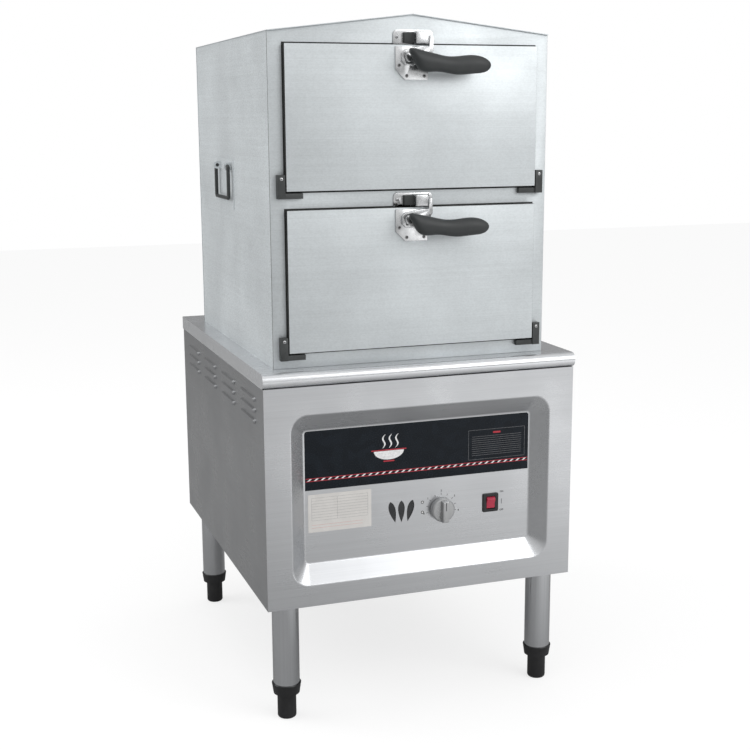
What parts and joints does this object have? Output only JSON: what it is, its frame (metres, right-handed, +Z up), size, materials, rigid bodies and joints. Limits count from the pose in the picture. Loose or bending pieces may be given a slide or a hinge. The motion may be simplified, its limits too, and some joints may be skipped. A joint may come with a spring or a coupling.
{
  "type": "rice noodle roll steamer",
  "caption": "Gas-fired rice noodle roll steamer: a furnace base on adjustable legs carrying a gabled steam cabinet with drop-down doors, latches and trays.",
  "frame": {"origin": "middle of the footprint on the floor", "axes": "+Z up, -Y towards the doors and the control panel, +X to the right as seen from the front"},
  "size_m": [0.623, 0.808, 1.303],
  "materials": {
    "furnace_steel": "satin brushed stainless sheet",
    "cabinet_steel": "matte brushed stainless sheet",
    "inner_steel": "satin stainless sheet",
    "leg_steel": "polished stainless tube",
    "bright_steel": "polished",
    "black_plastic": "moulded",
    "grip_plastic": "fine grained moulding",
    "gasket_rubber": "soft",
    "cast_iron": "sooted",
    "brass": "as machined",
    "galvanised_pipe": "galvanised",
    "painted_grey": "satin paint",
    "lever_paint": "dipped vinyl",
    "label_film": "printed film",
    "dark_metal": "dark coated",
    "knob_grey": "silver paint on plastic",
    "rocker_red": "translucent red"
  },
  "bodies": {
    "steamer": {"top_plate": "furnace_steel", "front_panel": "furnace_steel", "left_side_panel": "furnace_steel", "right_side_panel": "furnace_steel", "back_panel": "furnace_steel", "floor_plate": "inner_steel", "leg_brackets": "inner_steel", "leg_tubes": "leg_steel", "foot_sockets": "black_plastic", "water_pan": "inner_steel", "burner": "cast_iron", "combustion_shroud": "inner_steel", "gas_pipe": "galvanised_pipe", "gas_valve": "brass", "blower_housing": "painted_grey", "blower_motor": "painted_grey", "switch_bezel": "black_plastic", "panel_labels": "label_film", "power_inlet": "black_plastic", "drain_pipe": "galvanised_pipe", "drain_valve": "brass", "furnace_screws": "bright_steel", "cabinet_left_side": "cabinet_steel", "cabinet_right_side": "cabinet_steel", "cabinet_back": "cabinet_steel", "cabinet_floor": "inner_steel", "front_frame": "cabinet_steel", "roof": "cabinet_steel", "tray_rails": "inner_steel", "upper_tray": "inner_steel", "lower_tray": "inner_steel", "hinge_brackets": "dark_metal", "upper_keeper": "bright_steel", "lower_keeper": "bright_steel", "cabinet_screws": "bright_steel", "handle_plates": "cabinet_steel"},
    "upper_door": {"upper_door_skin": "cabinet_steel", "upper_door_liner": "inner_steel", "upper_door_gasket": "gasket_rubber", "upper_latch_plate": "bright_steel", "upper_latch_screws": "bright_steel"},
    "upper_latch": {"upper_latch_lever": "bright_steel", "upper_latch_grip": "grip_plastic"},
    "lower_door": {"lower_door_skin": "cabinet_steel", "lower_door_liner": "inner_steel", "lower_door_gasket": "gasket_rubber", "lower_latch_plate": "bright_steel", "lower_latch_screws": "bright_steel"},
    "lower_latch": {"lower_latch_lever": "bright_steel", "lower_latch_grip": "grip_plastic"},
    "control_knob": {"control_knob": "knob_grey"},
    "rocker_button": {"rocker_button": "rocker_red"},
    "foot_front_left": {"foot_front_left": "black_plastic"},
    "foot_front_right": {"foot_front_right": "black_plastic"},
    "foot_rear_left": {"foot_rear_left": "black_plastic"},
    "foot_rear_right": {"foot_rear_right": "black_plastic"},
    "blower_impeller": {"blower_impeller": "painted_grey"},
    "drain_lever": {"drain_lever": "lever_paint"},
    "left_bail": {"left_bail": "dark_metal"},
    "right_bail": {"right_bail": "dark_metal"}
  },
  "joints": [
    {"name": "upper_door_hinge", "type": "hinge", "parent": "steamer", "child": "upper_door", "pos_m": [-0.009, -0.347, 1.0005], "axis": [1, 0, 0], "range_deg": [0, 90]},
    {"name": "upper_latch_pivot", "type": "hinge", "parent": "upper_door", "child": "upper_latch", "pos_m": [-0.023, -0.352, 1.227], "axis": [0, 1, 0], "range_deg": [0, 75]},
    {"name": "lower_door_hinge", "type": "hinge", "parent": "steamer", "child": "lower_door", "pos_m": [-0.009, -0.347, 0.711], "axis": [1, 0, 0], "range_deg": [0, 90]},
    {"name": "lower_latch_pivot", "type": "hinge", "parent": "lower_door", "child": "lower_latch", "pos_m": [-0.023, -0.352, 0.94], "axis": [0, 1, 0], "range_deg": [0, 75]},
    {"name": "control_knob_turn", "type": "hinge", "parent": "steamer", "child": "control_knob", "pos_m": [0.0445, -0.3555, 0.385], "axis": [0, 1, 0], "range_deg": [-100, 100]},
    {"name": "rocker_throw", "type": "hinge", "parent": "steamer", "child": "rocker_button", "pos_m": [0.1475, -0.3525, 0.387], "axis": [1, 0, 0], "range_deg": [-24, 0]},
    {"name": "foot_front_left_screw", "type": "slide", "parent": "steamer", "child": "foot_front_left", "axis": [0, 0, -1], "range_m": [0, 0.025]},
    {"name": "foot_front_right_screw", "type": "slide", "parent": "steamer", "child": "foot_front_right", "axis": [0, 0, -1], "range_m": [0, 0.025]},
    {"name": "foot_rear_left_screw", "type": "slide", "parent": "steamer", "child": "foot_rear_left", "axis": [0, 0, -1], "range_m": [0, 0.025]},
    {"name": "foot_rear_right_screw", "type": "slide", "parent": "steamer", "child": "foot_rear_right", "axis": [0, 0, -1], "range_m": [0, 0.025]},
    {"name": "blower_spin", "type": "hinge", "parent": "steamer", "child": "blower_impeller", "pos_m": [-0.05, 0.2335, 0.321], "axis": [1, 0, 0], "continuous": true},
    {"name": "drain_lever_turn", "type": "hinge", "parent": "steamer", "child": "drain_lever", "pos_m": [-0.2, 0.37, 0.3], "axis": [0, 0, 1], "range_deg": [0, 90]},
    {"name": "left_bail_swing", "type": "hinge", "parent": "steamer", "child": "left_bail", "pos_m": [-0.285, 0.002, 1.03], "axis": [0, 1, 0], "range_deg": [0, 90]},
    {"name": "right_bail_swing", "type": "hinge", "parent": "steamer", "child": "right_bail", "pos_m": [0.267, 0.002, 1.03], "axis": [0, -1, 0], "range_deg": [0, 90]}
  ]
}
